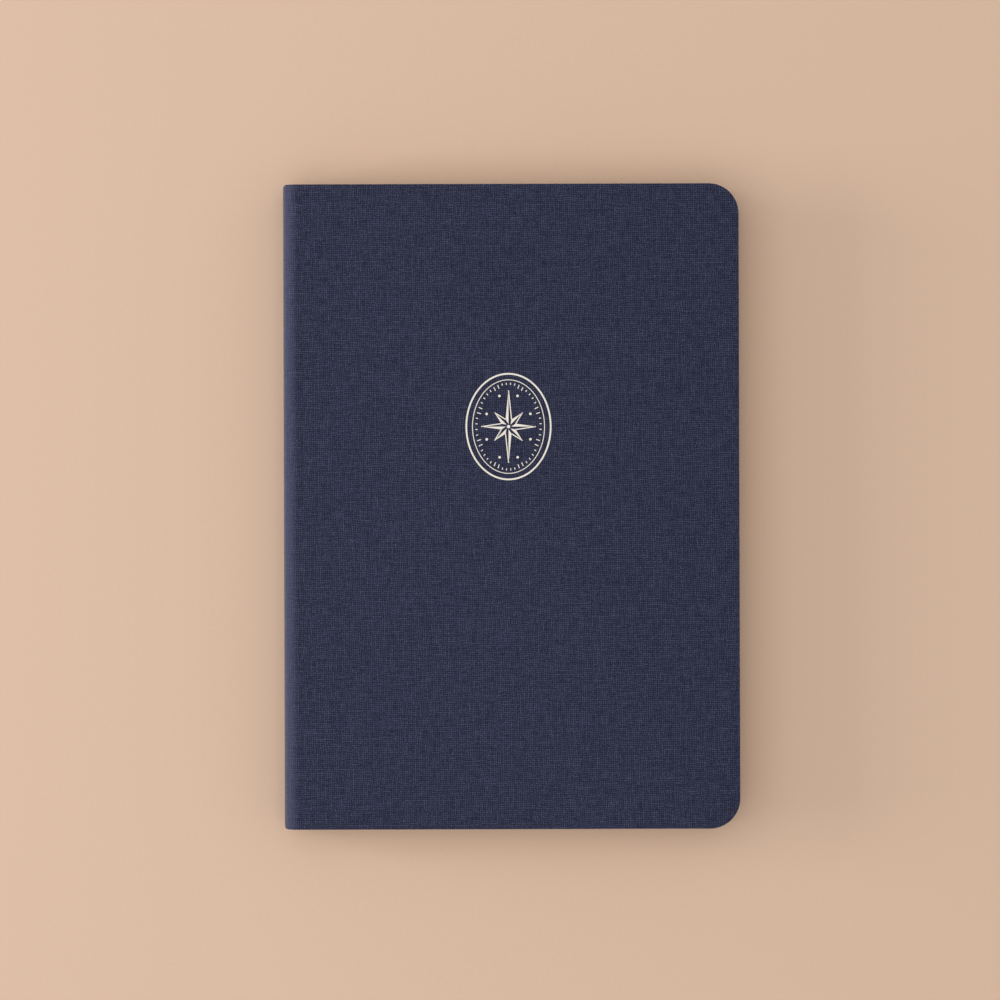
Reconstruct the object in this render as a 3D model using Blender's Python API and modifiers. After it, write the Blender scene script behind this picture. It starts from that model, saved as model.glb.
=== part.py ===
"""A5 hard-cover journal: a cloth-covered case around a sewn block of nine sections.

The book lies closed on its back cover. Its frame has +X towards the fore-edge, +Y towards
the head, +Z up through the front cover, and its origin under the middle of the book.
Profiles are drawn in millimetres from two lines: "u" runs from the outer face of the spine
towards the fore-edge, and "z" runs up from the underside of the back cover.
"""
import math

import bmesh
import bpy

MM = 0.001

# Case: the outside of the book
COVER_WIDTH = 148.5
COVER_HEIGHT = 210.0
COVER_CORNER = 9.8
SHOULDER_RADIUS = 4.8
CLOTH = 0.3
BOARD = 1.6
TURN_IN = 15.0
SPINE_TURN_IN = 12.0
INLAY = 0.4
EDGE_ROUNDING = 0.22

# Text block: nine folded sections between two flyleaves
BLOCK_THICKNESS = 12.0
SECTION_COUNT = 9
SQUARE = 2.5
LEAF = 0.2
PASTEDOWN_MARGIN = 3.0
FOLD_U = 1.6
FLYLEAF_U = 2.4
THREAD_RADIUS = 0.18
CHANNEL_RADIUS = 0.26
THREAD_LENGTH = 176.0
MULL = 0.15
MULL_U = 1.3
MULL_LENGTH = 180.0
LINING_END_Z = 4.4
BEAD_RADIUS = 0.75

# Clearances: GAP parts layers of paper and cloth, HINGE_GAP parts the pieces that swing
GAP = 0.1
HINGE_GAP = 0.3
HINGE_U = 5.0

# Emblem: foil stamped on the front cover, measured from the cover's centre
EMBLEM_X = -0.8
EMBLEM_Y = 26.0
FOIL = 0.06
FOIL_GAP = 0.02
OUTER_RING = (28.3, 35.2, 0.8)
INNER_RING = (24.0, 31.0, 0.44)
STAR_TIPS = (11.6, 4.9, 8.4, 4.9)
STAR_VALLEY = 2.3

CORNER_STEPS = 8
SHOULDER_STEPS = 8
FOLD_STEPS = 8
RING_STEPS = 40

# Levels that follow from the sizes above
CLOTH_Z = (0.0, CLOTH)
BOARD_Z = (CLOTH + GAP, CLOTH + GAP + BOARD)
TURN_IN_Z = (BOARD_Z[1] + GAP, BOARD_Z[1] + GAP + CLOTH)
PASTEDOWN_Z = (TURN_IN_Z[1] + GAP, TURN_IN_Z[1] + GAP + LEAF)
FLYLEAF_Z = (PASTEDOWN_Z[1] + GAP, PASTEDOWN_Z[1] + GAP + LEAF)
BLOCK_Z = FLYLEAF_Z[1] + GAP
BOOK_THICKNESS = 2 * BLOCK_Z + BLOCK_THICKNESS
MIDDLE_Z = BOOK_THICKNESS / 2
SPINE_X = -COVER_WIDTH / 2
SECTION_PITCH = (BLOCK_THICKNESS + GAP) / SECTION_COUNT
SECTION = SECTION_PITCH - GAP
PAGE_U = COVER_WIDTH - SQUARE
PAGE_HALF = COVER_HEIGHT / 2 - SQUARE
INLAY_OFFSET = CLOTH + GAP
SPINE_TURN_OFFSET = INLAY_OFFSET + INLAY + GAP
THREAD_U = FOLD_U + SECTION / 2 + GAP

NAVY_CLOTH = (0.036, 0.038, 0.069)
GREYBOARD = (0.30, 0.27, 0.23)
CARD = (0.42, 0.36, 0.28)
CREAM_PAPER = (0.83, 0.78, 0.66)
ENDPAPER = (0.80, 0.75, 0.64)
LINEN = (0.78, 0.74, 0.64)
GAUZE = (0.74, 0.72, 0.66)
BAND = (0.60, 0.55, 0.42)
FOIL_GOLD = (0.80, 0.74, 0.60)


def clear_scene():
    for item in list(bpy.data.objects):
        bpy.data.objects.remove(item, do_unlink=True)


def new_collection(name):
    collection = bpy.data.collections.new(name)
    bpy.context.scene.collection.children.link(collection)
    return collection


def material(name, colour, roughness, metallic=0.0):
    made = bpy.data.materials.new(name)
    made.use_nodes = True
    shader = made.node_tree.nodes["Principled BSDF"]
    shader.inputs["Base Color"].default_value = (*colour, 1.0)
    shader.inputs["Roughness"].default_value = roughness
    shader.inputs["Metallic"].default_value = metallic
    return made


def arc(centre, radius, start, end, steps):
    """Points along an arc, from the start angle to the end angle in degrees."""
    points = []
    for step in range(steps + 1):
        angle = math.radians(start + (end - start) * step / steps)
        points.append((centre[0] + radius * math.cos(angle), centre[1] + radius * math.sin(angle)))
    return points


def prism(name, outlines, depth, location, upright=False):
    """A closed mesh: flat outlines, in millimetres, filled and given a depth.

    A flat prism stands on the XY plane. An upright one has its outline in the XZ plane and
    its depth along Y. A second outline inside the first is a hole.
    """
    curve = bpy.data.curves.new(name + "_outline", "CURVE")
    curve.dimensions = "2D"
    curve.fill_mode = "BOTH"
    curve.extrude = depth / 2 * MM
    for outline in outlines:
        spline = curve.splines.new("POLY")
        spline.points.add(len(outline) - 1)
        for point, (across, along) in zip(spline.points, outline):
            point.co = (across * MM, along * MM, 0.0, 1.0)
        spline.use_cyclic_u = True
    guide = bpy.data.objects.new(name + "_guide", curve)
    bpy.context.scene.collection.objects.link(guide)
    guide.location = [value * MM for value in location]
    guide.rotation_euler = (math.pi / 2 if upright else 0.0, 0.0, 0.0)
    bpy.context.view_layer.update()

    evaluated = guide.evaluated_get(bpy.context.evaluated_depsgraph_get())
    mesh = bpy.data.meshes.new_from_object(evaluated)
    mesh.name = name
    work = bmesh.new()
    work.from_mesh(mesh)
    bmesh.ops.remove_doubles(work, verts=work.verts, dist=0.001 * MM)
    bmesh.ops.recalc_face_normals(work, faces=work.faces)
    work.to_mesh(mesh)
    work.free()
    piece = bpy.data.objects.new(name, mesh)
    piece.matrix_world = guide.matrix_world.copy()
    bpy.data.objects.remove(guide, do_unlink=True)
    return piece


def plan(u_start, u_end, half_height, corner):
    """A cover or leaf seen from above: square at the spine, rounded at the fore-edge."""
    if corner == 0:
        fore_edge = [(u_end, -half_height), (u_end, half_height)]
    else:
        inner = (u_end - corner, half_height - corner)
        fore_edge = arc((inner[0], -inner[1]), corner, -90, 0, CORNER_STEPS)
        fore_edge += arc(inner, corner, 0, 90, CORNER_STEPS)
    return [(u_start, -half_height), *fore_edge, (u_start, half_height)]


def plate(name, outline, levels):
    """A flat piece between two levels."""
    middle = (levels[0] + levels[1]) / 2
    return prism(name, [outline], levels[1] - levels[0], (SPINE_X, 0, middle))


def rail(name, profile, length):
    """A profile in u and z, run along the height of the book."""
    return prism(name, [profile], length, (SPINE_X, 0, 0), upright=True)


def mirrored_levels(levels):
    return (BOOK_THICKNESS - levels[1], BOOK_THICKNESS - levels[0])


def mirrored(profile):
    """The same profile in the upper half of the book."""
    return [(u, BOOK_THICKNESS - z) for u, z in profile]


def spine_strip(outer, inner, u_end, z_end):
    """The lower half of a layer of the spine, between two depths below the outer face."""
    centre = (SHOULDER_RADIUS, SHOULDER_RADIUS)
    outside = arc(centre, SHOULDER_RADIUS - outer, 270, 180, SHOULDER_STEPS)
    inside = arc(centre, SHOULDER_RADIUS - inner, 180, 270, SHOULDER_STEPS)
    return [(u_end, outer), *outside, (outer, z_end), (inner, z_end), *inside, (u_end, inner)]


def cut(piece, cutter, cutters, operation="DIFFERENCE"):
    cutters.objects.link(cutter)
    cutter.hide_render = True
    cutter.display_type = "WIRE"
    boolean = piece.modifiers.new(cutter.name, "BOOLEAN")
    boolean.operation = operation
    boolean.solver = "EXACT"
    boolean.object = cutter


def round_edges(piece, width, segments=2):
    bevel = piece.modifiers.new("rounded_edges", "BEVEL")
    bevel.width = width * MM
    bevel.segments = segments
    bevel.limit_method = "ANGLE"
    bevel.angle_limit = math.radians(50)


def cover_cloth(name, side, cutters):
    """Cloth over one board, turned in around its head, tail and fore-edge."""
    levels = side((CLOTH_Z[0], TURN_IN_Z[1]))
    u_start = HINGE_U + GAP / 2
    half = COVER_HEIGHT / 2
    piece = plate(name, plan(u_start, COVER_WIDTH, half, COVER_CORNER), levels)
    round_edges(piece, EDGE_ROUNDING)

    pocket = plan(u_start - 1, COVER_WIDTH - CLOTH, half - CLOTH, COVER_CORNER - CLOTH)
    cut(piece, plate(name + "_pocket", pocket, side((CLOTH, TURN_IN_Z[0]))), cutters)
    window = plan(u_start - 1, COVER_WIDTH - TURN_IN, half - TURN_IN, 0)
    window_levels = side((TURN_IN_Z[0] - GAP, TURN_IN_Z[1] + 1))
    cut(piece, plate(name + "_window", window, window_levels), cutters)
    return piece


def spine_cloth(name, side, cutters):
    """Half of the cloth on the spine, turned in at head and tail over the inlay."""
    u_end = HINGE_U - GAP / 2
    z_end = MIDDLE_Z - GAP / 2
    thickness = SPINE_TURN_OFFSET + CLOTH
    piece = rail(name, side(spine_strip(0, thickness, u_end, z_end)), COVER_HEIGHT)

    pocket = spine_strip(CLOTH, SPINE_TURN_OFFSET, u_end + 1, z_end + 1)
    cut(piece, rail(name + "_pocket", side(pocket), COVER_HEIGHT - 2 * CLOTH), cutters)
    window = spine_strip(SPINE_TURN_OFFSET - GAP, thickness + 1, u_end + 1, z_end + 1)
    window_length = COVER_HEIGHT - 2 * SPINE_TURN_IN
    cut(piece, rail(name + "_window", side(window), window_length), cutters)
    return piece


def spine_inlay(name, side):
    """Half of the flexible card that shapes the spine."""
    strip = spine_strip(INLAY_OFFSET, INLAY_OFFSET + INLAY, HINGE_U - GAP, MIDDLE_Z - GAP / 2)
    return rail(name, side(strip), COVER_HEIGHT - 2 * (CLOTH + GAP))


def board(name, side):
    inset = CLOTH + GAP
    outline = plan(
        HINGE_U + 4 * GAP, COVER_WIDTH - inset, COVER_HEIGHT / 2 - inset, COVER_CORNER - inset
    )
    return plate(name, outline, side(BOARD_Z))


def pastedown(name, side):
    outline = plan(
        HINGE_U + 2 * GAP,
        COVER_WIDTH - PASTEDOWN_MARGIN,
        COVER_HEIGHT / 2 - PASTEDOWN_MARGIN,
        COVER_CORNER - PASTEDOWN_MARGIN,
    )
    return plate(name, outline, side(PASTEDOWN_Z))


def flyleaf(name, side):
    return plate(name, plan(FLYLEAF_U, PAGE_U, PAGE_HALF, COVER_CORNER - SQUARE), side(FLYLEAF_Z))


def whole_section(z_low):
    """Folded sheets seen from the tail: round at the fold, open down the middle.

    The slit runs in from the fore-edge to a round channel along the fold for the thread.
    """
    middle = z_low + SECTION / 2
    fold = (FOLD_U + SECTION / 2, middle)
    slit = GAP / 2
    mouth = math.degrees(math.asin(slit / CHANNEL_RADIUS))
    outside = arc(fold, SECTION / 2, 90, 270, FOLD_STEPS)
    channel = arc((THREAD_U, middle), CHANNEL_RADIUS, 360 - mouth, mouth, FOLD_STEPS)
    return [
        (PAGE_U, middle + SECTION / 2),
        *outside,
        (PAGE_U, middle - SECTION / 2),
        (PAGE_U, middle - slit),
        *channel,
        (PAGE_U, middle + slit),
    ]


def lower_half_section():
    """The lower half of the middle section, parted at the sheet where the book opens."""
    fold = (FOLD_U + SECTION / 2, MIDDLE_Z)
    slit = GAP / 2
    outer_mouth = math.degrees(math.asin(slit / (SECTION / 2)))
    inner_mouth = math.degrees(math.asin(slit / CHANNEL_RADIUS))
    outside = arc(fold, SECTION / 2, 180 + outer_mouth, 270, FOLD_STEPS // 2)
    channel = arc(
        (THREAD_U, MIDDLE_Z), CHANNEL_RADIUS, 360 - inner_mouth, 180 + inner_mouth, FOLD_STEPS // 2
    )
    return [*outside, (PAGE_U, MIDDLE_Z - SECTION / 2), (PAGE_U, MIDDLE_Z - slit), *channel]


def section(name, profile, cutters):
    """One folded section, with the leaves' corners rounded at the fore-edge."""
    piece = rail(name, profile, 2 * PAGE_HALF)
    z_values = [z for _, z in profile]
    leaf = plan(FOLD_U - 1, PAGE_U, PAGE_HALF, COVER_CORNER - SQUARE)
    trimmer = plate(name + "_trimmer", leaf, (min(z_values) - 1, max(z_values) + 1))
    cut(piece, trimmer, cutters, "INTERSECT")
    return piece


def sewing_thread(name, z):
    """Thread along the inside of a fold."""
    bpy.ops.mesh.primitive_cylinder_add(
        vertices=8,
        radius=THREAD_RADIUS * MM,
        depth=THREAD_LENGTH * MM,
        location=((SPINE_X + THREAD_U) * MM, 0, z * MM),
        rotation=(math.pi / 2, 0, 0),
    )
    piece = bpy.context.object
    piece.name = name
    for collection in list(piece.users_collection):
        collection.objects.unlink(piece)
    return piece


def mull(name, side):
    """Half of the gauze glued over the folds."""
    outline = [
        (MULL_U, -MULL_LENGTH / 2),
        (MULL_U + MULL, -MULL_LENGTH / 2),
        (MULL_U + MULL, MULL_LENGTH / 2),
        (MULL_U, MULL_LENGTH / 2),
    ]
    return plate(name, outline, side((LINING_END_Z, MIDDLE_Z - GAP / 2)))


def end_band(name, side, end):
    """Half of a head or tail band: a round bead over the folds, on a strip glued to them."""
    strip_start = MULL_LENGTH / 2 + 2
    bead = (MULL_U + BEAD_RADIUS, PAGE_HALF + GAP + BEAD_RADIUS)
    outline = [
        (MULL_U, strip_start),
        (MULL_U + MULL, strip_start),
        (MULL_U + MULL, PAGE_HALF + GAP),
        *arc(bead, BEAD_RADIUS, -90, 180, 3 * FOLD_STEPS // 2),
    ]
    outline = [(u, end * y) for u, y in outline]
    return plate(name, outline, side((LINING_END_Z, MIDDLE_Z - GAP / 2)))


def oval(width, height):
    points = arc((0, 0), 1.0, 0, 360, RING_STEPS)[:-1]
    return [(width / 2 * across, height / 2 * along) for across, along in points]


def foil(name, outlines):
    """A flat piece of foil on the front cover, around the emblem's centre."""
    level = BOOK_THICKNESS + FOIL_GAP + FOIL / 2
    return prism(name, outlines, FOIL, (EMBLEM_X, EMBLEM_Y, level))


def foil_ring(name, ring):
    width, height, line = ring
    return foil(name, [oval(width, height), oval(width - 2 * line, height - 2 * line)])


def foil_star(name):
    """An eight-pointed compass star, long to the head and tail."""
    outline = []
    for tip in range(8):
        for radius, half_steps in ((STAR_TIPS[tip % 4], 0), (STAR_VALLEY, 1)):
            angle = math.radians(90 + 45 * tip + 22.5 * half_steps)
            outline.append((radius * math.cos(angle), radius * math.sin(angle)))
    return foil(name, [outline])


def pivot(name, u, z):
    """An empty on a hinge axis, which runs along the spine."""
    empty = bpy.data.objects.new(name, None)
    empty.empty_display_size = 0.02
    empty.location = ((SPINE_X + u) * MM, 0, z * MM)
    return empty


def hang(parent, children):
    bpy.context.view_layer.update()
    for child in children:
        child.parent = parent
        child.matrix_parent_inverse = parent.matrix_world.inverted()


def same(value):
    return value


def build():
    clear_scene()
    book = new_collection("cloth_bound_journal")
    cutters = new_collection("cutters")

    # Back cover, the fixed body, with the lower half of the spine
    back = [
        (cover_cloth("back_cover_cloth", same, cutters), NAVY_CLOTH, 0.85),
        (spine_cloth("spine_cloth_rear", same, cutters), NAVY_CLOTH, 0.85),
        (spine_inlay("spine_inlay_rear", same), CARD, 0.9),
        (board("back_board", same), GREYBOARD, 0.9),
        (pastedown("back_pastedown", same), ENDPAPER, 0.8),
    ]

    # Front cover with its stamped foil
    front = [
        (cover_cloth("front_cover_cloth", mirrored_levels, cutters), NAVY_CLOTH, 0.85),
        (board("front_board", mirrored_levels), GREYBOARD, 0.9),
        (pastedown("front_pastedown", mirrored_levels), ENDPAPER, 0.8),
        (foil_ring("emblem_outer_ring", OUTER_RING), FOIL_GOLD, 0.35),
        (foil_ring("emblem_inner_ring", INNER_RING), FOIL_GOLD, 0.35),
        (foil_star("emblem_star"), FOIL_GOLD, 0.35),
    ]

    # Rear half of the text block, which holds the sewing of the middle section
    rear_block = [
        (flyleaf("back_flyleaf", same), ENDPAPER, 0.8),
        (mull("mull_rear", same), GAUZE, 0.9),
        (end_band("headband_rear", same, 1), BAND, 0.8),
        (end_band("tailband_rear", same, -1), BAND, 0.8),
    ]

    # Front half of the text block, with the upper half of the spine
    front_block = [
        (flyleaf("front_flyleaf", mirrored_levels), ENDPAPER, 0.8),
        (mull("mull_front", mirrored_levels), GAUZE, 0.9),
        (end_band("headband_front", mirrored_levels, 1), BAND, 0.8),
        (end_band("tailband_front", mirrored_levels, -1), BAND, 0.8),
        (spine_cloth("spine_cloth_front", mirrored, cutters), NAVY_CLOTH, 0.85),
        (spine_inlay("spine_inlay_front", mirrored), CARD, 0.9),
    ]

    # Sections count from the front cover down
    middle_section = (SECTION_COUNT + 1) // 2
    for number in range(1, SECTION_COUNT + 1):
        z_low = BLOCK_Z + (SECTION_COUNT - number) * SECTION_PITCH
        name = f"section_{number:02d}"
        half = front_block if number < middle_section else rear_block
        if number == middle_section:
            lower = lower_half_section()
            rear_block.append((section(name + "_rear", lower, cutters), CREAM_PAPER, 0.8))
            front_block.append(
                (section(name + "_front", mirrored(lower), cutters), CREAM_PAPER, 0.8)
            )
        else:
            half.append((section(name, whole_section(z_low), cutters), CREAM_PAPER, 0.8))
        thread = sewing_thread(f"sewing_thread_{number:02d}", z_low + SECTION / 2)
        half.append((thread, LINEN, 0.8))

    spine_pivot = pivot("rear_block_pivot", -HINGE_GAP / 2, MIDDLE_Z)
    middle_pivot = pivot("front_block_pivot", -HINGE_GAP / 2, MIDDLE_Z)
    cover_pivot = pivot("front_cover_pivot", HINGE_U, BOOK_THICKNESS + HINGE_GAP / 2)
    for empty in (spine_pivot, middle_pivot, cover_pivot):
        book.objects.link(empty)

    for pieces in (back, front, rear_block, front_block):
        for piece, colour, roughness in pieces:
            book.objects.link(piece)
            metallic = 0.8 if colour == FOIL_GOLD else 0.0
            piece.data.materials.clear()
            piece.data.materials.append(material(piece.name, colour, roughness, metallic))
            piece.data.set_sharp_from_angle(angle=math.radians(30))
    hang(spine_pivot, [piece for piece, _, _ in rear_block] + [middle_pivot])
    hang(middle_pivot, [piece for piece, _, _ in front_block] + [cover_pivot])
    hang(cover_pivot, [piece for piece, _, _ in front])


build()
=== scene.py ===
"""The looks of a cloth-bound journal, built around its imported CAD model."""
import math
import random

import bmesh
import bpy
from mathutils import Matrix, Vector


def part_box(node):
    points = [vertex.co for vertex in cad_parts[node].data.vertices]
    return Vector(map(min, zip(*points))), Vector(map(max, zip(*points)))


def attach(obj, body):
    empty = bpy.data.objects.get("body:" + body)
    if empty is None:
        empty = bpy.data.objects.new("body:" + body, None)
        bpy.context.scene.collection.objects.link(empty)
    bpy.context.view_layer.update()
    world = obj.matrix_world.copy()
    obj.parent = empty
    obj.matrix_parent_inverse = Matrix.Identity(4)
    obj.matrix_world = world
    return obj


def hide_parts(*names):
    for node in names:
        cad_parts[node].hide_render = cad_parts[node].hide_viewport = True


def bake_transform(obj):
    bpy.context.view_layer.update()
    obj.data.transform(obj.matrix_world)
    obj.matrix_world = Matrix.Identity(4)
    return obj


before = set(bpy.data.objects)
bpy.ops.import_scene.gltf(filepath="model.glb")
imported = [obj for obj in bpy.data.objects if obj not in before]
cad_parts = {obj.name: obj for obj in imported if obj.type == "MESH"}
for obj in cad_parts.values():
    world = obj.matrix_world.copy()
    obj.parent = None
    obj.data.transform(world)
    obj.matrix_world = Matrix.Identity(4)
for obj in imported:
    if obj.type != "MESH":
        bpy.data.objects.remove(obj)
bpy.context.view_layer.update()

MM = 0.001

# The book's own lines, in millimetres. Profiles are drawn in "u", from the outer face of the
# spine towards the fore-edge, and "d", the depth below the nearer cover's outer face.
CASE_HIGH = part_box("back_cover_cloth")[1]
SPINE_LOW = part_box("spine_cloth_rear")[0]
COVER_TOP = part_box("front_cover_cloth")[1].z / MM
SPINE_X = SPINE_LOW.x / MM
WIDTH = CASE_HIGH.x / MM - SPINE_X
HALF_HEIGHT = CASE_HIGH.y / MM
MIDDLE = COVER_TOP / 2
COVER_DEPTH = CASE_HIGH.z / MM
HINGE_U = 5.0        # the middle of the strip of cloth that bends when a cover opens
HINGE_HALF = 0.5
SHOULDER = 4.8       # radius of the round between the spine and a cover
CLOTH = 0.3          # thickness of the cloth
COVER_CORNER = 9.8
SPINE_CORNER = 1.3
TURN_IN = 15.0

SECTION_LOW, SECTION_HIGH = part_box("section_09")
FOLD_U = SECTION_LOW.x / MM - SPINE_X
PAGE_U = SECTION_HIGH.x / MM - SPINE_X
PAGE_HALF = SECTION_HIGH.y / MM
PAGE_CORNER = COVER_CORNER - (WIDTH - PAGE_U)
SECTION = (SECTION_HIGH.z - SECTION_LOW.z) / MM
SHEETS = 4           # folded sheets in a section
LEAF = 0.138         # thickness of a leaf


# ---------------------------------------------------------------- meshes

def arc(centre, radius, start, end, steps):
    """Points along an arc, from the start angle to the end angle in degrees."""
    angles = (math.radians(start + (end - start) * step / steps) for step in range(steps + 1))
    return [(centre[0] + radius * math.cos(a), centre[1] + radius * math.sin(a)) for a in angles]


def new_object(name, work, smooth=None):
    """An object from a bmesh, with its faces pointing out."""
    bmesh.ops.recalc_face_normals(work, faces=work.faces)
    mesh = bpy.data.meshes.new(name)
    work.to_mesh(mesh)
    work.free()
    piece = bpy.data.objects.new(name, mesh)
    bpy.context.scene.collection.objects.link(piece)
    if smooth is not None:
        shade(piece, smooth)
    return piece


def shade(piece, degrees):
    piece.data.shade_smooth()
    piece.data.set_sharp_from_angle(angle=math.radians(degrees))


def add_prism(work, outline, low, high, place):
    """Adds a closed solid: an outline repeated at two levels, each corner put by place()."""
    rings = [[work.verts.new(place(a, b, level)) for a, b in outline] for level in (low, high)]
    for ring in rings:
        work.faces.new(ring)
    for index in range(len(outline)):
        work.faces.new((rings[0][index - 1], rings[0][index], rings[1][index], rings[1][index - 1]))


def flat(u, y, z):
    return Vector((SPINE_X + u, y, z)) * MM


def upright(u, z, y):
    return Vector((SPINE_X + u, y, z)) * MM


def prism(name, outline, low, high, place):
    work = bmesh.new()
    add_prism(work, outline, low, high, place)
    return new_object(name, work)


def settle(piece):
    """Applies the piece's modifiers."""
    evaluated = piece.evaluated_get(bpy.context.evaluated_depsgraph_get())
    mesh = bpy.data.meshes.new_from_object(evaluated)
    piece.modifiers.clear()
    piece.data = mesh


def combine(piece, tool, operation):
    boolean = piece.modifiers.new("cut", "BOOLEAN")
    boolean.operation = operation
    boolean.solver = "EXACT"
    boolean.object = tool
    settle(piece)
    bpy.data.objects.remove(tool, do_unlink=True)


def plan(u_start, u_end, half_height, fore_corner, spine_corner=0.0, steps=14):
    """A cover or leaf from above, with its four corners rounded or square."""
    corners = (
        (u_end, -1, fore_corner, -90),
        (u_end, 1, fore_corner, 0),
        (u_start, 1, spine_corner, 90),
        (u_start, -1, spine_corner, 180),
    )
    points = []
    for u, end, radius, angle in corners:
        if radius == 0:
            points.append((u, end * half_height))
            continue
        inward = -1 if u == u_end else 1
        centre = (u + inward * radius, end * (half_height - radius))
        points += arc(centre, radius, angle, angle + 90, steps)
    return points


# ---------------------------------------------------------------- materials

THREAD_PITCH = 0.68
CLOTH_DARK = (0.0045, 0.0058, 0.0225)
CLOTH_MIDDLE = (0.0185, 0.0222, 0.0600)
CLOTH_PALE = (0.080, 0.089, 0.165)
# Painted highlight: a pale line along the spine's shoulder where the light from the left falls,
# measured along the cloth from mid-spine
PAINTED_HIGHLIGHT_LINE = MIDDLE - 0.2 * SHOULDER
PAINTED_HIGHLIGHT_CORE = 1.2
PAINTED_HIGHLIGHT_REACH = 3.8
PAINTED_HIGHLIGHT_AMOUNT = 0.32

RULE_PITCH = 7.5
RULE_HALF = 0.15
RULE_START = 0.9     # shifts the rows so that none falls on the trimmed edge
RULE_COLUMNS = (16, 34, 58, 82, 100, 118, 136)
RULE_MARGIN = 12
RULE_STRENGTH = 0.8
RULE_INK = (0.22, 0.26, 0.36)


class Paint:
    """A material being made: its node tree, and short ways to add to it."""

    def __init__(self, name):
        self.material = bpy.data.materials.new(name)
        self.material.use_nodes = True
        self.tree = self.material.node_tree
        self.shader = self.tree.nodes["Principled BSDF"]

    def put(self, socket, value):
        if isinstance(value, bpy.types.NodeSocket):
            self.tree.links.new(value, socket)
        else:
            socket.default_value = value

    def add(self, kind, inputs=(), **settings):
        node = self.tree.nodes.new(kind)
        for key, value in settings.items():
            setattr(node, key, value)
        for key, value in dict(inputs).items():
            self.put(node.inputs[key], value)
        return node

    def set(self, **values):
        for key, value in values.items():
            self.put(self.shader.inputs[key.replace("_", " ")], value)

    def math(self, operation, first, second=0.0, third=0.0):
        inputs = {0: first, 1: second, 2: third}
        return self.add("ShaderNodeMath", inputs, operation=operation).outputs[0]

    def mix(self, factor, first, second, blend="MIX"):
        inputs = {"Factor": factor, 6: first, 7: second}
        node = self.add("ShaderNodeMix", inputs, data_type="RGBA", blend_type=blend)
        return node.outputs[2]

    def coordinates(self, source="Object"):
        return self.add("ShaderNodeTexCoord").outputs[source]

    def stretched(self, vector, sizes):
        """Coordinates counted in cells of these sizes, in millimetres."""
        scale = tuple(1 / (size * MM) for size in sizes)
        return self.add("ShaderNodeMapping", {"Vector": vector, "Scale": scale}).outputs[0]

    def noise(self, vector, detail=2.0, roughness=0.5):
        inputs = {"Vector": vector, "Scale": 1.0, "Detail": detail, "Roughness": roughness}
        return self.add("ShaderNodeTexNoise", inputs).outputs[0]

    def levels(self, value, low, high, to_low=0.0, to_high=1.0):
        inputs = {0: value, 1: low, 2: high, 3: to_low, 4: to_high}
        return self.add("ShaderNodeMapRange", inputs).outputs[0]

    def bump(self, height, distance, strength=1.0):
        inputs = {"Height": height, "Distance": distance * MM, "Strength": strength}
        self.set(Normal=self.add("ShaderNodeBump", inputs).outputs[0])


def colour(red, green, blue):
    return (red, green, blue, 1.0)


def weave_height(paint, across, along, pitch):
    """How high two sets of threads stand: (those that run along, those that run across)."""
    turn = math.pi / (pitch * MM)
    waves = [paint.math("SINE", paint.math("MULTIPLY", value, turn)) for value in (across, along)]
    return [paint.math("ABSOLUTE", wave) for wave in waves]


def book_cloth(name):
    """Navy book cloth: a plain weave of uneven threads, paler where they run thick."""
    paint = Paint(name)
    uv = paint.coordinates("UV")
    parts = paint.add("ShaderNodeSeparateXYZ", {0: uv})
    wander = paint.noise(paint.stretched(uv, (9, 9, 9)), detail=2)
    drift = paint.math("MULTIPLY", paint.math("SUBTRACT", wander, 0.5), 1.6 * MM)
    across = paint.math("ADD", parts.outputs[0], drift)
    along = paint.math("SUBTRACT", parts.outputs[1], drift)
    warp, weft = weave_height(paint, across, along, THREAD_PITCH)

    # Each thread keeps its own tone for a few millimetres; a little of it holds much further
    width = 0.9 * THREAD_PITCH
    lights = []
    for weave, short, long in (
        (warp, (width, 4.5, 1), (width, 30, 1)),
        (weft, (4.5, width, 1), (30, width, 1)),
    ):
        tone = paint.noise(paint.stretched(uv, short), detail=1.5, roughness=0.6)
        drawn = paint.noise(paint.stretched(uv, long), detail=0.5)
        tone = paint.math("ADD", tone, paint.math("MULTIPLY", drawn, 0.3))
        lights.append(paint.math("MULTIPLY", weave, paint.levels(tone, 0.40, 0.90, 0.23, 0.83)))
    tone = paint.math("MULTIPLY", paint.math("ADD", *lights), 0.5)
    fleck = paint.noise(paint.stretched(uv, (0.42, 0.42, 1)), detail=1)
    tone = paint.math("ADD", tone, paint.math("MULTIPLY", paint.math("SUBTRACT", fleck, 0.5), 1.05))
    patch = paint.noise(paint.stretched(uv, (30, 30, 30)), detail=2)
    tone = paint.math("ADD", tone, paint.math("MULTIPLY", paint.math("SUBTRACT", patch, 0.5), 0.03))

    base = paint.mix(paint.levels(tone, 0.05, 0.35), colour(*CLOTH_DARK), colour(*CLOTH_MIDDLE))
    base = paint.mix(paint.levels(tone, 0.33, 0.75), base, colour(*CLOTH_PALE))

    # Painted highlight: the cloth is made paler where it turns over the round of the spine,
    # standing in for light from the left on the shoulder
    turned = paint.math("ABSOLUTE", parts.outputs[0])
    away = paint.math("ABSOLUTE", paint.math("SUBTRACT", turned, PAINTED_HIGHLIGHT_LINE * MM))
    painted_highlight = paint.levels(away, PAINTED_HIGHLIGHT_CORE * MM, PAINTED_HIGHLIGHT_REACH * MM, PAINTED_HIGHLIGHT_AMOUNT, 0.0)
    base = paint.mix(painted_highlight, base, colour(*CLOTH_PALE))
    paint.set(Base_Color=base, Roughness=0.78, Specular_IOR_Level=0.28)
    paint.set(Sheen_Weight=0.5, Sheen_Roughness=0.35)
    relief = paint.math("ADD", paint.math("MAXIMUM", warp, weft), tone)
    paint.bump(relief, 0.09, 0.8)
    return paint.material


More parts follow.
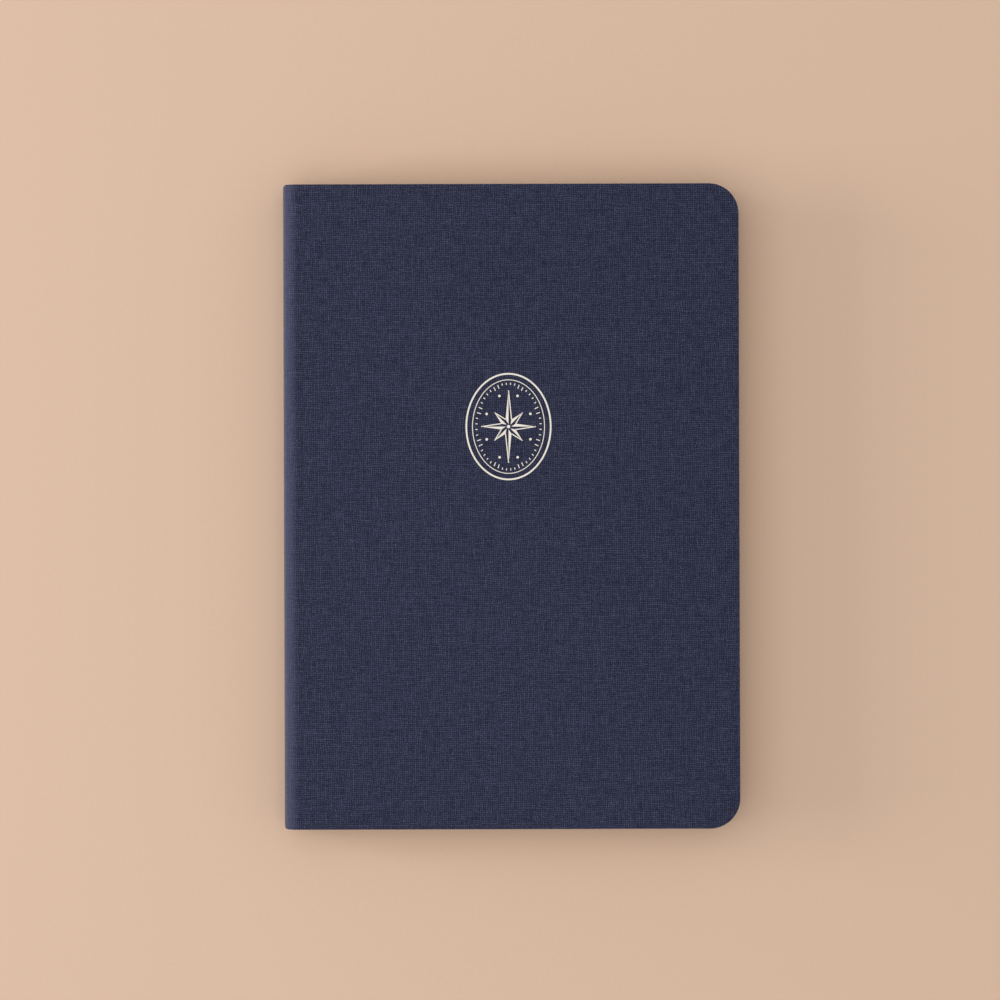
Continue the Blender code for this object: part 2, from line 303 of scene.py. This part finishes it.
def paper(name, base, ruled=False):
    """Uncoated paper: fibres, a faint mottle and, on the text leaves, printed rules."""
    paint = Paint(name)
    place = paint.coordinates()
    fibres = paint.noise(paint.stretched(place, (0.9, 0.5, 0.5)), detail=4, roughness=0.6)
    mottle = paint.noise(paint.stretched(place, (16, 16, 16)), detail=2)
    shade_of = paint.levels(paint.math("ADD", fibres, mottle), 0.6, 1.4, 0.94, 1.03)
    grey = paint.add("ShaderNodeCombineColor", {0: shade_of, 1: shade_of, 2: shade_of}).outputs[0]
    tint = paint.mix(1.0, colour(*base), grey, "MULTIPLY")
    if ruled:
        tint = printed_rules(paint, place, tint)
    paint.set(Base_Color=tint, Roughness=0.86, Specular_IOR_Level=0.25)
    paint.bump(fibres, 0.02, 0.5)
    return paint.material


def line_at(paint, value, centre, half_width):
    distance = paint.math("ABSOLUTE", paint.math("SUBTRACT", value, centre * MM))
    return paint.math("LESS_THAN", distance, half_width * MM)


def printed_rules(paint, place, tint):
    """Thin blank table rules on both faces of a leaf, inside the margins, and none on its edges."""
    parts = paint.add("ShaderNodeSeparateXYZ", {0: place})
    x, y = parts.outputs[0], parts.outputs[1]
    shifted = paint.math("ADD", y, RULE_START * MM)
    wrapped = paint.math("WRAP", shifted, RULE_PITCH * MM, 0.0)
    rows = line_at(paint, wrapped, RULE_PITCH / 2, RULE_HALF)
    columns = None
    for u in RULE_COLUMNS:
        column = line_at(paint, x, SPINE_X + u, RULE_HALF)
        columns = column if columns is None else paint.math("MAXIMUM", columns, column)
    inside_y = paint.math("LESS_THAN", paint.math("ABSOLUTE", y), (PAGE_HALF - RULE_MARGIN) * MM)
    low = paint.math("GREATER_THAN", x, (SPINE_X + RULE_COLUMNS[0] - RULE_HALF) * MM)
    high = paint.math("LESS_THAN", x, (SPINE_X + RULE_COLUMNS[-1] + RULE_HALF) * MM)
    inside = paint.math("MULTIPLY", inside_y, paint.math("MULTIPLY", low, high))
    ink = paint.math("MULTIPLY", paint.math("MAXIMUM", rows, columns), inside)

    normal = paint.add("ShaderNodeNewGeometry").outputs["True Normal"]
    spaces = {"vector_type": "NORMAL", "convert_from": "WORLD", "convert_to": "OBJECT"}
    local = paint.add("ShaderNodeVectorTransform", {0: normal}, **spaces)
    up = paint.add("ShaderNodeSeparateXYZ", {0: local.outputs[0]}).outputs[2]
    facing = paint.math("GREATER_THAN", paint.math("ABSOLUTE", up), 0.7)
    ink = paint.math("MULTIPLY", ink, facing)
    return paint.mix(paint.math("MULTIPLY", ink, RULE_STRENGTH), tint, colour(*RULE_INK))


def foil_paint(name):
    """Pale gold foil, pressed into the weave, with pinholes and uneven wear."""
    paint = Paint(name)
    place = paint.coordinates()
    grain = paint.noise(paint.stretched(place, (0.35, 0.35, 0.35)), detail=2)
    wear = paint.noise(paint.stretched(place, (2.4, 2.4, 2.4)), detail=3)
    worn = paint.levels(paint.math("ADD", grain, paint.math("MULTIPLY", wear, 0.5)), 0.45, 0.62)
    base = paint.mix(worn, colour(0.60, 0.56, 0.48), colour(0.93, 0.89, 0.80))
    paint.set(Base_Color=base, Metallic=0.12, Roughness=0.42, Specular_IOR_Level=0.6)
    paint.bump(grain, 0.05, 0.6)
    return paint.material


def board_paint(name, base):
    """Greyboard or card: pressed layers of flecked pulp."""
    paint = Paint(name)
    place = paint.coordinates()
    flecks = paint.noise(paint.stretched(place, (0.7, 0.7, 0.25)), detail=4, roughness=0.7)
    dark = colour(*(0.7 * channel for channel in base))
    tint = paint.mix(paint.levels(flecks, 0.35, 0.65), dark, colour(*base))
    paint.set(Base_Color=tint, Roughness=0.92, Specular_IOR_Level=0.2)
    paint.bump(flecks, 0.04)
    return paint.material


def gauze_paint(name):
    """Open starched gauze."""
    paint = Paint(name)
    parts = paint.add("ShaderNodeSeparateXYZ", {0: paint.coordinates()})
    height = paint.math("MULTIPLY", *weave_height(paint, parts.outputs[2], parts.outputs[1], 0.8))
    base = paint.mix(height, colour(0.42, 0.38, 0.30), colour(0.76, 0.73, 0.66))
    paint.set(Base_Color=base, Roughness=0.9)
    paint.bump(height, 0.1)
    return paint.material


def thread_paint(name):
    """Waxed linen thread."""
    paint = Paint(name)
    fibres = paint.noise(paint.stretched(paint.coordinates(), (0.12, 1.2, 0.12)), detail=3)
    base = paint.mix(fibres, colour(0.60, 0.55, 0.44), colour(0.86, 0.82, 0.72))
    paint.set(Base_Color=base, Roughness=0.6, Sheen_Weight=0.2)
    paint.bump(fibres, 0.03)
    return paint.material


def band_paint(name):
    """Striped head band: navy and cream threads by turns along the block's thickness."""
    paint = Paint(name)
    place = paint.coordinates()
    z = paint.add("ShaderNodeSeparateXYZ", {0: place}).outputs[2]
    stripe = paint.math("SINE", paint.math("MULTIPLY", z, math.pi / (BAND_STRIPE * MM)))
    which = paint.levels(stripe, -0.15, 0.15)
    fibres = paint.noise(paint.stretched(place, (0.3, 0.3, 0.1)), detail=3)
    cream = paint.mix(fibres, colour(0.55, 0.50, 0.38), colour(0.82, 0.77, 0.64))
    navy = paint.mix(fibres, colour(0.020, 0.022, 0.045), colour(0.05, 0.055, 0.10))
    paint.set(Base_Color=paint.mix(which, navy, cream), Roughness=0.6, Sheen_Weight=0.25)
    paint.bump(fibres, 0.04)
    return paint.material


def floor_paint(name):
    """A pale warm studio surface with a fine matte grain."""
    paint = Paint(name)
    grain = paint.noise(paint.stretched(paint.coordinates(), (1.4, 1.4, 1.4)), detail=3)
    base = paint.mix(grain, colour(0.785, 0.570, 0.428), colour(0.815, 0.594, 0.448))
    paint.set(Base_Color=base, Roughness=0.9, Specular_IOR_Level=0.15)
    return paint.material


def dress(piece, material):
    piece.data.materials.clear()
    piece.data.materials.append(material)


# ---------------------------------------------------------------- case

INNER_STEP = HINGE_U + 0.3   # where the cover's inner face steps down to the thin hinge
SPINE_INNER = 1.2            # depth of the spine's inner face
PARTING_LIP = 0.07           # how far the parting face falls back behind its outer edge
SEAM_GAP = 0.008
SOFT_EDGE = 0.42


def case_profile(outer, inner_spine, inner_cover, u_end, middle):
    """Half of a layer of the case, from the middle of the spine to the fore-edge, in u and d."""
    centre = (SHOULDER, SHOULDER)
    steps = 14
    outside = arc(centre, SHOULDER - outer, 270, 180, steps)
    inside = arc(centre, SHOULDER - inner_spine, 180, 270, steps)
    step = (INNER_STEP, inner_cover)
    fallen = middle - PARTING_LIP
    parting = [(outer, middle), (outer + 0.1, fallen), (inner_spine, fallen)]
    return [(u_end, outer), *outside, *parting, *inside, step, (u_end, inner_cover)]


def sided(outline, upper):
    """The outline with depths turned into heights."""
    return [(u, COVER_TOP - d) if upper else (u, d) for u, d in outline]


def case_cloth(name, upper, hinge_lines):
    """Cloth over a cover and half of the spine: one skin, turned in around the edges."""
    skin = case_profile(0, SPINE_INNER, COVER_DEPTH, WIDTH, MIDDLE - SEAM_GAP)
    piece = prism(name, sided(skin, upper), -HALF_HEIGHT, HALF_HEIGHT, upright)
    trim = plan(0, WIDTH, HALF_HEIGHT, COVER_CORNER, SPINE_CORNER, steps=20)
    combine(piece, prism("trim", trim, -1, COVER_TOP + 1, flat), "INTERSECT")
    bevel = piece.modifiers.new("soft_edge", "BEVEL")
    bevel.width = SOFT_EDGE * MM
    bevel.segments = 4
    bevel.limit_method = "ANGLE"
    bevel.angle_limit = math.radians(55)
    settle(piece)

    # Hollowed out for the board and for the card in the spine
    spine_pocket = SPINE_INNER - CLOTH
    pocket = case_profile(CLOTH, spine_pocket, COVER_DEPTH - CLOTH, WIDTH - CLOTH, MIDDLE + 1)
    inner_half = HALF_HEIGHT - CLOTH
    tool = prism("pocket", sided(pocket, upper), -inner_half, inner_half, upright)
    rounded = plan(-1, WIDTH - CLOTH, inner_half, COVER_CORNER - CLOTH)
    combine(tool, prism("pocket_plan", rounded, -1, COVER_TOP + 1, flat), "INTERSECT")
    combine(piece, tool, "DIFFERENCE")

    # Opened on the inside, which leaves the turned-in edges
    window_end = WIDTH - TURN_IN
    window_depth = COVER_DEPTH - CLOTH - 0.1
    window = [(window_end, window_depth), (INNER_STEP, window_depth)]
    window += arc((SHOULDER, SHOULDER), SHOULDER - 0.8, 270, 180, 10)
    window += [(0.8, MIDDLE + 1), (3, MIDDLE + 1), (3, 5.5), (5.6, 3.0), (window_end, 3.0)]
    half = HALF_HEIGHT - TURN_IN
    combine(piece, prism("window", sided(window, upper), -half, half, upright), "DIFFERENCE")

    work = bmesh.new()
    work.from_mesh(piece.data)
    for u in hinge_lines:
        everything = work.verts[:] + work.edges[:] + work.faces[:]
        bmesh.ops.bisect_plane(
            work,
            geom=everything,
            dist=1e-7,
            plane_co=flat(u, 0, 0),
            plane_no=(1, 0, 0),
        )
    work.to_mesh(piece.data)
    work.free()
    lay_weave(piece, upper)
    shade(piece, 40)
    return piece


def lay_weave(piece, upper):
    """UVs in metres along the cloth: round the shoulder one way, along the spine the other."""
    mesh = piece.data
    layer = mesh.uv_layers.new(name="weave")
    side = 1 if upper else -1
    for polygon in mesh.polygons:
        normal = polygon.normal
        for index in polygon.loop_indices:
            place = mesh.vertices[mesh.loops[index].vertex_index].co / MM
            u = place.x - SPINE_X
            depth = COVER_TOP - place.z if upper else place.z
            if depth >= SHOULDER:
                path = MIDDLE - depth
            elif u < SHOULDER:
                turn = math.atan2(SHOULDER - depth, max(SHOULDER - u, 1e-6))
                path = MIDDLE - SHOULDER + SHOULDER * turn
            else:
                path = MIDDLE - SHOULDER + SHOULDER * math.pi / 2 + u - SHOULDER
            if normal.x > 0.7:
                path += depth
            along = place.y
            if abs(normal.y) > 0.7:
                along += math.copysign(depth, place.y)
            layer.data[index].uv = (side * path * MM, along * MM)


# ---------------------------------------------------------------- text block

def folded_sheet(fold, middle, outer, inner, fore_edge, steps=7):
    outside = arc((fold, middle), outer, 90, 270, steps)
    inside = arc((fold, middle), inner, 270, 90, steps)
    return [
        (fore_edge, middle + outer),
        *outside,
        (fore_edge, middle - outer),
        (fore_edge, middle - inner),
        *inside,
        (fore_edge, middle + inner),
    ]


def half_sheet(fold, middle, outer, inner, fore_edge, side, steps=5):
    """One leaf of a sheet that is parted at its fold: side is 1 above the fold, -1 below."""
    outside = arc((0, 0), outer, 178, 90, steps)
    inside = arc((0, 0), inner, 90, 178, steps)
    points = [*outside, (fore_edge - fold, outer), (fore_edge - fold, inner), *inside]
    return [(fold + across, middle + side * up) for across, up in points]


def leaves(name, middle, sides, seed):
    """A section's folded sheets, one inside the other, trimmed with round corners."""
    chance = random.Random(seed)
    work = bmesh.new()
    fold = FOLD_U + SECTION / 2
    step = SECTION / 2 / SHEETS
    for number in range(SHEETS):
        outer = SECTION / 2 - number * step
        inner = max(outer - LEAF, 0.012)
        for side in sides:
            fore_edge = PAGE_U - chance.uniform(0.0, 0.14)
            if side == 0:
                outline = folded_sheet(fold, middle, outer, inner, fore_edge)
            else:
                outline = half_sheet(fold, middle, outer, inner, fore_edge, side)
            half = PAGE_HALF - chance.uniform(0.0, 0.1)
            add_prism(work, outline, -half, half, upright)
    piece = new_object(name, work)
    trimmer = plan(0, PAGE_U, PAGE_HALF, PAGE_CORNER)
    low, high = middle - SECTION, middle + SECTION
    combine(piece, prism("trimmer", trimmer, low, high, flat), "INTERSECT")
    shade(piece, 35)
    return piece


def strip(name, outer, inner, half, place=upright):
    """A bent sheet: two matching paths, one on each face, run along the book's height."""
    return prism(name, outer + inner[::-1], -half, half, place)


def gutter_sheet(name):
    """The middle sheet at its fold, which lies flat across the gutter when the book is open."""
    tip = 0.42
    end = FOLD_U + SECTION / 2 + 0.2
    faces = [
        [(end, MIDDLE - half), *arc((tip, MIDDLE), half, 270, 90, 12), (end, MIDDLE + half)]
        for half in (0.04, 0.02)
    ]
    return strip(name, *faces, PAGE_HALF)


ENDPAPER = 0.14      # thickness of the endpaper
LINING = 0.03        # thickness of the two papers that line the back hinge
LINING_TOP = MIDDLE - 0.1
LINING_BEND = 1.0    # the height over which the block's lining passes from cover to block


def endpaper_hinge(name, upper):
    """The endpaper where it folds between the flyleaf and the pastedown."""
    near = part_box("back_pastedown")[0].z / MM
    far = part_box("back_flyleaf")[1].z / MM
    middle = (near + far) / 2
    fold = 2.45
    end_near = 5.6
    steps = 16
    outer, inner = [], []
    for path, inset in ((outer, 0.0), (inner, ENDPAPER)):
        radius = (far - near) / 2 - inset
        for step in range(steps + 1):
            path.append((end_near + (fold - end_near) * step / steps, middle - radius))
        path += arc((fold, middle), radius, 270, 90, 10)[1:]
        path.append((fold + 0.6, middle + radius))
    return strip(name, sided(outer, upper), sided(inner, upper), PAGE_HALF)


def thicken(path, thickness):
    """The path moved sideways by the thickness, to the left of its run."""
    moved = []
    for index, point in enumerate(path):
        before = Vector(path[max(index - 1, 0)])
        after = Vector(path[min(index + 1, len(path) - 1)])
        forward = (after - before).normalized()
        moved.append((point[0] - forward.y * thickness, point[1] + forward.x * thickness))
    return moved


def case_lining(name):
    """The back endpaper on the case's side: from the pastedown down and round the shoulder."""
    radius = SHOULDER - 1.235
    path = [(6.2, 2.66), (5.25, 2.62), (5.0, 2.3), (4.8, 1.8), (4.6, 1.5)]
    path += arc((SHOULDER, SHOULDER), radius, 262, 180, 16)
    path.append((SHOULDER - radius, LINING_TOP))
    return strip(name, path, thicken(path, LINING), PAGE_HALF)


def block_lining(name):
    """The back endpaper on the block's side: from the flyleaf up over the folds and gauze."""
    radius = SHOULDER - 1.25
    path = [(3.4, 2.79), (2.2, 2.79), (1.88, 2.86)]
    path += arc((SHOULDER, SHOULDER), radius, 205, 180, 8)
    path.append((SHOULDER - radius, LINING_TOP - LINING_BEND - 0.2))
    steps = 28
    for step in range(steps + 1):
        path.append((SHOULDER - radius, LINING_TOP - LINING_BEND * (steps - step) / steps))
    return strip(name, path, thicken(path, -LINING), PAGE_HALF)


# ---------------------------------------------------------------- sewing and bands

def add_tube(work, path, radius_at, sides=8):
    """Adds a closed tube along a path of points, in metres."""
    rings = []
    for index, point in enumerate(path):
        before = path[max(index - 1, 0)]
        after = path[min(index + 1, len(path) - 1)]
        forward = (after - before).normalized()
        side = forward.cross(Vector((0, 0, 1)))
        if side.length < 0.2:
            side = forward.cross(Vector((1, 0, 0)))
        side.normalize()
        lift = side.cross(forward)
        ring = []
        for turn in range(sides):
            angle = math.tau * turn / sides
            offset = side * math.cos(angle) + lift * math.sin(angle)
            ring.append(work.verts.new(point + offset * radius_at(index, angle)))
        rings.append(ring)
    for first, second in zip(rings, rings[1:]):
        for turn in range(sides):
            work.faces.new((first[turn - 1], first[turn], second[turn], second[turn - 1]))
    work.faces.new(rings[0][::-1])
    work.faces.new(rings[-1])


THREAD = 0.17        # radius of the thread
STATIONS = (-88, -60, -52, -22, -14, 14, 22, 52, 60, 88)   # holes in a fold, in pairs


def sewing(name, z):
    """Twisted thread along a fold: a stitch for each pair of holes, dipping into both."""
    work = bmesh.new()
    inside_u = FOLD_U + SECTION / 2 + 0.1

    def twist(index, angle):
        return THREAD * MM * (1.0 + 0.16 * math.cos(2 * angle + index * 0.9))

    for start, end in zip(STATIONS[::2], STATIONS[1::2]):
        path = []
        count = max(int(abs(end - start) * 3), 12)
        for step in range(count + 1):
            y = start + (end - start) * step / count
            near_hole = min(y - start, end - y)
            dip = max(0.0, 1.0 - near_hole / 1.2) ** 2
            path.append(Vector((SPINE_X + inside_u - 0.45 * dip, y, z)) * MM)
        add_tube(work, path, twist)
    return new_object(name, work, smooth=60)


BAND_STRIPE = 0.62   # length of one stripe of the head band
BEAD = 0.75          # radius of its bead
WINDING = 0.09       # how far the wound thread stands out
TAPE = 0.13


def end_band(name, node, end):
    """A bead wound with thread, over a strip of tape that runs down over the folds."""
    low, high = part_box(node)
    z_low, z_high = low.z / MM, high.z / MM
    u = low.x / MM - SPINE_X
    edge = max(abs(low.y), abs(high.y)) / MM
    centre = Vector((SPINE_X + u + BEAD, end * (edge - BEAD), 0))
    work = bmesh.new()
    steps = 64
    path = []
    for step in range(steps + 1):
        z = z_low + (z_high - z_low) * step / steps
        path.append((centre + Vector((0, 0, z))) * MM)
    spacing = BAND_STRIPE / 2

    def wound(index, angle):
        z = path[index].z / MM
        ridge = abs(math.sin(math.pi * z / spacing))
        return MM * (BEAD - WINDING + WINDING * ridge)

    add_tube(work, path, wound, sides=16)
    tape_end = abs(low.y if end > 0 else high.y) / MM
    bead_middle = end * (edge - BEAD)
    tape = [
        (u, end * tape_end),
        (u + TAPE, end * tape_end),
        (u + TAPE, bead_middle),
        (u, bead_middle),
    ]
    add_prism(work, tape, z_low, z_high, flat)
    return new_object(name, work, smooth=50)


# ---------------------------------------------------------------- emblem

EMBLEM_LOW, EMBLEM_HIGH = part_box("emblem_outer_ring")
EMBLEM_X = (EMBLEM_LOW.x + EMBLEM_HIGH.x) / 2 / MM
EMBLEM_Y = (EMBLEM_LOW.y + EMBLEM_HIGH.y) / 2 / MM
FOIL_Z = (EMBLEM_LOW.z / MM, EMBLEM_HIGH.z / MM)
FOIL_TRIM = 0.3      # how much smaller the rings are drawn than their CAD nodes
FOIL_ROUND = 0.08
FOIL_DROP = 0.02


def on_cover(x, y, z):
    return Vector((EMBLEM_X + x, EMBLEM_Y + y, z)) * MM


def oval(width, height, angle):
    return (width / 2 * math.cos(angle), height / 2 * math.sin(angle))


def add_ring(work, width, height, line, steps=120):
    """A low, soft-edged band of foil along an oval."""
    low, high = FOIL_Z
    section = (
        (0.0, low),
        (0.0, high - FOIL_DROP),
        (FOIL_ROUND, high),
        (line - FOIL_ROUND, high),
        (line, high - FOIL_DROP),
        (line, low),
    )
    rings = []
    for step in range(steps):
        angle = math.tau * step / steps
        rings.append([
            work.verts.new(on_cover(*oval(width - 2 * inset, height - 2 * inset, angle), z))
            for inset, z in section
        ])
    for index in range(steps):
        first, second = rings[index - 1], rings[index]
        for side in range(len(section)):
            work.faces.new((first[side - 1], first[side], second[side], second[side - 1]))


def add_line(work, points, width):
    """A straight-sided stroke of foil along open points."""
    left, right = [], []
    for index, point in enumerate(points):
        before = Vector(points[max(index - 1, 0)])
        after = Vector(points[min(index + 1, len(points) - 1)])
        forward = (after - before).normalized()
        side = Vector((-forward.y, forward.x)) * width / 2
        left.append(tuple(Vector(point) + side))
        right.append(tuple(Vector(point) - side))
    add_prism(work, left + right[::-1], *FOIL_Z, on_cover)


def add_dot(work, x, y, radius):
    add_prism(work, arc((x, y), radius, 0, 337.5, 15), *FOIL_Z, on_cover)


def ring_piece(name, node, line):
    low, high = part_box(node)
    work = bmesh.new()
    add_ring(work, (high.x - low.x) / MM - FOIL_TRIM, (high.y - low.y) / MM - FOIL_TRIM, line)
    return new_object(name, work, smooth=50)


STAR_TIPS = (11.8, 6.4, 8.9, 6.4)   # reach of the points, from the top one round
STAR_VALLEY = 2.5
STAR_HUB = 0.9
STAR_LINE = 0.34
DIAL_TICKS = 48
DIAL_BEADS = 8
TICK_OUTER = (21.6, 28.6)
TICK_INNER = (20.2, 27.2)
LONG_TICK_INNER = (19.0, 26.0)
BEAD_OVAL = (15.4, 21.6)


def heading(angle):
    return Vector((math.cos(angle), math.sin(angle)))


def compass_star(name):
    """Eight points, each half filled and half drawn in line, round a small hub."""
    work = bmesh.new()
    half_turn = math.radians(22.5)
    for tip in range(8):
        angle = math.radians(90 + 45 * tip)
        point = heading(angle) * STAR_TIPS[tip % 4]
        drawn_valley = heading(angle - half_turn) * STAR_VALLEY
        filled_valley = heading(angle + half_turn) * STAR_VALLEY
        hub = heading(angle) * STAR_HUB
        add_prism(work, [tuple(hub), tuple(filled_valley), tuple(point)], *FOIL_Z, on_cover)
        add_line(work, [tuple(point), tuple(drawn_valley * 1.02)], STAR_LINE)
    add_dot(work, 0, 0, 0.55)
    return new_object(name, work)


def emblem_dial(name):
    """Fine ticks round the dial, two in six of them longer, and a ring of small beads."""
    work = bmesh.new()
    for tick in range(DIAL_TICKS):
        angle = math.tau * (tick + 0.5) / DIAL_TICKS
        inner = LONG_TICK_INNER if tick % 6 in (2, 3) else TICK_INNER
        add_line(work, [oval(*inner, angle), oval(*TICK_OUTER, angle)], 0.28)
    for bead in range(DIAL_BEADS):
        angle = math.tau * (bead + 0.5) / DIAL_BEADS
        add_dot(work, *oval(*BEAD_OVAL, angle), 0.42)
    return new_object(name, work)


# ---------------------------------------------------------------- assembly

cloth = book_cloth("navy_book_cloth")
text_paper = paper("cream_text_paper", (0.83, 0.77, 0.64), ruled=True)
endpaper = paper("cream_endpaper", (0.81, 0.745, 0.61))
greyboard = board_paint("greyboard", (0.34, 0.30, 0.25))
card = board_paint("spine_card", (0.46, 0.40, 0.31))
foil = foil_paint("pale_gold_foil")
linen = thread_paint("linen_thread")
gauze = gauze_paint("mull_gauze")
striped = band_paint("striped_band")

# Case
HINGE = (HINGE_U - HINGE_HALF, HINGE_U + HINGE_HALF)
hinge_lines = [HINGE[0] + (HINGE[1] - HINGE[0]) * step / 10 for step in range(-1, 12)]
front_case = case_cloth("front_case_cloth", True, hinge_lines)
dress(front_case, cloth)
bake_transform(front_case)
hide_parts("front_cover_cloth", "spine_cloth_front")

back_case = case_cloth("back_case_cloth", False, [])
dress(back_case, cloth)
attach(back_case, "back_cover")
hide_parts("back_cover_cloth", "spine_cloth_rear")

# Emblem
for ring_name, node, line in (
    ("emblem_border_outer", "emblem_outer_ring", 0.54),
    ("emblem_border_inner", "emblem_inner_ring", 0.26),
):
    ring = ring_piece(ring_name, node, line)
    dress(ring, foil)
    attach(ring, "front_cover")
    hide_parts(node)
star = compass_star("emblem_compass_star")
dial = emblem_dial("emblem_dial")
for art in (star, dial):
    dress(art, foil)
    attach(art, "front_cover")
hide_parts("emblem_star")

# Text block
for number in range(1, 10):
    node = f"section_{number:02d}"
    thread_node = f"sewing_thread_{number:02d}"
    z = sum(corner.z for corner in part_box(thread_node)) / 2 / MM
    body = "front_block" if number < 5 else "rear_block"
    if number == 5:
        halves = ((node + "_front", "front_block", (1,)), (node + "_rear", "rear_block", (-1,)))
    else:
        halves = ((node, body, (0,)),)
    for half_node, half_body, sides in halves:
        sheets = leaves(half_node + "_leaves", z, sides, number)
        dress(sheets, text_paper)
        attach(sheets, half_body)
        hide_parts(half_node)
    thread = sewing(thread_node + "_stitches", z)
    dress(thread, linen)
    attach(thread, body)
    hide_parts(thread_node)

gutter = gutter_sheet("middle_sheet_fold")
dress(gutter, text_paper)
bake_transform(gutter)

lining = case_lining("back_endpaper_case_side")
dress(lining, endpaper)
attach(lining, "back_cover")

back_hinge = block_lining("back_endpaper_block_side")
dress(back_hinge, endpaper)
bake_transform(back_hinge)

front_hinge = endpaper_hinge("front_endpaper_hinge", True)
dress(front_hinge, endpaper)
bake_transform(front_hinge)

for end_name, end in (("headband", 1), ("tailband", -1)):
    for half_name, body in (("front", "front_block"), ("rear", "rear_block")):
        node = f"{end_name}_{half_name}"
        band = end_band(node + "_bead", node, end)
        dress(band, striped)
        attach(band, body)
        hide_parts(node)

# Carried-over CAD nodes
for node, material in (
    ("front_board", greyboard),
    ("back_board", greyboard),
    ("spine_inlay_front", card),
    ("spine_inlay_rear", card),
    ("mull_front", gauze),
    ("mull_rear", gauze),
    ("front_pastedown", endpaper),
    ("back_pastedown", endpaper),
    ("front_flyleaf", endpaper),
    ("back_flyleaf", endpaper),
):
    dress(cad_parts[node], material)


# ---------------------------------------------------------------- stage, light and camera

def area_light(name, place, aim, size, power, tint):
    light = bpy.data.lights.new(name, "AREA")
    light.size = size
    light.energy = power
    light.color = tint
    lamp = bpy.data.objects.new(name, light)
    bpy.context.scene.collection.objects.link(lamp)
    lamp.location = place
    lamp.rotation_euler = (Vector(aim) - Vector(place)).to_track_quat("-Z", "Y").to_euler()


floor_work = bmesh.new()
bmesh.ops.create_grid(floor_work, x_segments=1, y_segments=1, size=3.0)
floor = new_object("floor", floor_work)
dress(floor, floor_paint("warm_floor"))

world = bpy.data.worlds.new("studio")
bpy.context.scene.world = world
world.use_nodes = True
background = world.node_tree.nodes["Background"]
background.inputs["Color"].default_value = colour(1.0, 0.975, 0.96)
background.inputs["Strength"].default_value = 0.48
area_light("window", (-1.5, 0.05, 0.34), (0, 0, 0), 0.8, 14.5, (0.99, 1.0, 1.0))
area_light("softbox", (-0.35, 0.0, 1.5), (0, 0, 0), 1.8, 9.0, (1.0, 0.965, 0.92))

VIEW_WIDTH = 0.3254
DISTANCE = 1.3
SENSOR = 36.0
camera_data = bpy.data.cameras.new("camera")
camera_data.sensor_width = SENSOR
camera_data.lens = SENSOR * DISTANCE / VIEW_WIDTH
camera = bpy.data.objects.new("camera", camera_data)
bpy.context.scene.collection.objects.link(camera)
# The book lies a little right of and below the middle of the view, turned by a sixth of a degree
camera.location = (-0.00365, 0.00212, COVER_TOP * MM + DISTANCE)
camera.rotation_euler = (0, 0, math.radians(-0.17))
bpy.context.scene.camera = camera
bpy.context.scene.view_settings.view_transform = "Standard"
